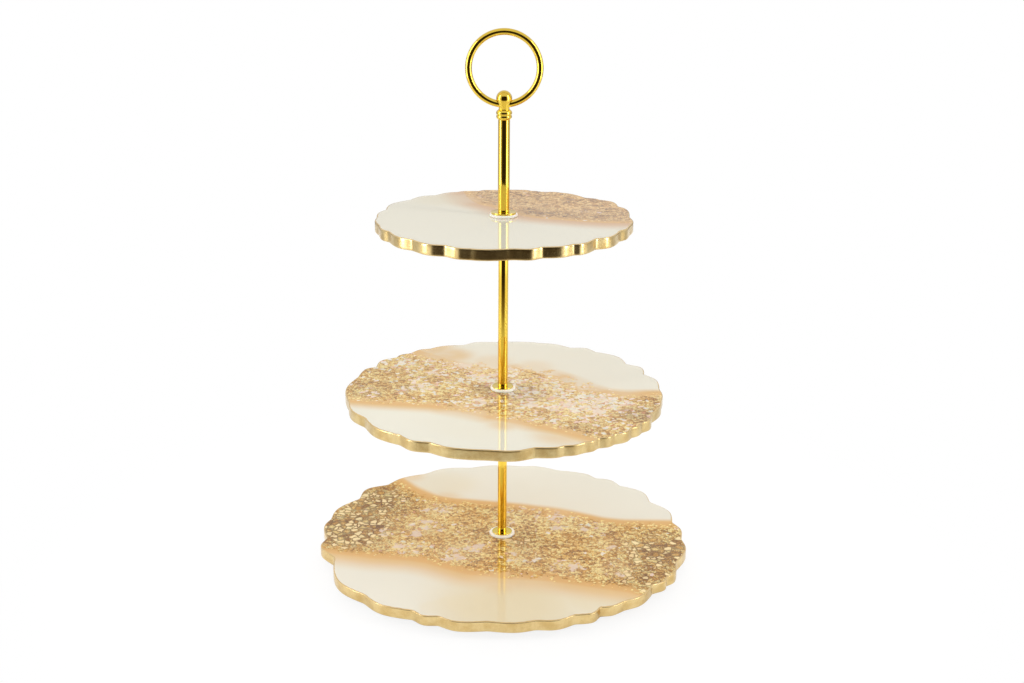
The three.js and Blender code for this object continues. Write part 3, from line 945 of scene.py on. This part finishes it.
def front_shade():
    """The dark side of the room, behind the camera, and the table as it falls into its shade."""
    half = 41
    spread = math.tan(math.radians(half + CARD_FADE))
    near, wall, top, lift = 0.3, 1.7, 1.6, 0.001
    table = [(-near * spread, -near, lift), (-wall * spread, -wall, lift),
             (wall * spread, -wall, lift), (near * spread, -near, lift)]
    table_stops = [(0.0, (0.85, 0.85, 0.83)), (0.4, (0.25, 0.195, 0.1)),
                   (0.85, (0.07, 0.052, 0.032)), (1.0, (0.03, 0.021, 0.011))]
    glow_card("table_shade", table, table_stops, (Y_AXIS, -0.35, -1.05), 0, half)
    room = upright_corners((-wall * spread, -wall), (wall * spread, -wall), top)
    room_stops = [(0.0, (0.03, 0.021, 0.011)), (1.0, (0.02, 0.015, 0.009))]
    glow_card("room_shade", room, room_stops, (Z_AXIS, 0.0, top), 0, half)


def back_shade():
    """A low grey card behind the stand, which the plates' tops mirror. It pales into the sky."""
    side, distance, top, half = 1.5, 1.2, 0.62, 46
    stops = [(0.0, (0.4, 0.34, 0.28)), (0.6, (0.4, 0.35, 0.3)), (1.0, (0.75, 0.75, 0.75))]
    glow_card("back_shade", upright_corners((-side, distance), (side, distance), top), stops,
              (Z_AXIS, 0.2, top), 180, half)


def studio():
    """A white studio: two upright soft boxes at the sides, each over a bright patch of wall, and
    between them the dark side of the room, where the table falls into shade towards the camera."""
    pale_floor()
    white_sky(0.8)
    soft_box("soft_box_left", azimuth=-74, distance=0.85, width=0.2, bottom=0.08, top=1.08,
             watts=4.6)
    soft_box("soft_box_right", azimuth=67, distance=0.85, width=0.2, bottom=0.08, top=1.08,
             watts=4.4)
    fill = soft_box("back_fill", azimuth=180, distance=1.1, width=1.6, bottom=0.01, top=1.21,
                    watts=11)
    fill.visible_glossy = False
    wall_glow("left_glow", -70)
    wall_glow("right_glow", 70)
    front_shade()
    back_shade()


def camera():
    """The photograph's view: just over 1 m in front, looking down 18 degrees."""
    distance, height = 1.0173, 0.5135
    pitch, yaw, roll = math.radians(17.954), math.radians(0.404), math.radians(0.402)
    forward = Vector((math.sin(yaw) * math.cos(pitch), math.cos(yaw) * math.cos(pitch),
                      -math.sin(pitch)))
    level = Vector((math.cos(yaw), -math.sin(yaw), 0))
    upright = level.cross(forward)
    right = math.cos(roll) * level + math.sin(roll) * upright
    up = math.cos(roll) * upright - math.sin(roll) * level
    data = bpy.data.cameras.new("camera")
    data.sensor_width = 36
    data.lens = 47.1
    view = bpy.data.objects.new("camera", data)
    bpy.context.scene.collection.objects.link(view)
    view.matrix_world = Matrix((
        (right.x, up.x, -forward.x, 0),
        (right.y, up.y, -forward.y, -distance),
        (right.z, up.z, -forward.z, height),
        (0, 0, 0, 1)))
    bpy.context.scene.camera = view


camera()
studio()
bpy.context.scene.view_settings.view_transform = "Standard"

GOLD = polished_gold("gold_polished", (0.90, 0.62, 0.06, 1.0), 0.045)
SATIN_GOLD = polished_gold("gold_satin", (0.92, 0.68, 0.1, 1.0), 0.16)
NYLON = nylon_material()
SILICONE = silicone_material()
GILT = {tier: gilt_edge(f"gilt_{tier}", srgb(228, 204, 148), srgb(208, 178, 118), 0.17)
        for tier in TIERS}

for tier in TIERS:
    cast_plate(tier)
    for side in ("top", "bottom"):
        washer(f"{tier}_nylon_washer_{side}", NYLON, 0.45 * MM)
        washer(f"{tier}_gold_washer_{side}", SATIN_GOLD, 0.25 * MM)
for name in ("lower_rod", "middle_rod", "handle_rod"):
    rod(name, GOLD)
collar(GOLD)
finial(GOLD)
ring(GOLD)
for name in NODES:
    if name.startswith("foot_"):
        foot(name, SILICONE)
for name in ("base_screw", "middle_stud", "upper_stud"):
    NODES[name].data.materials.clear()
    NODES[name].data.materials.append(GOLD)
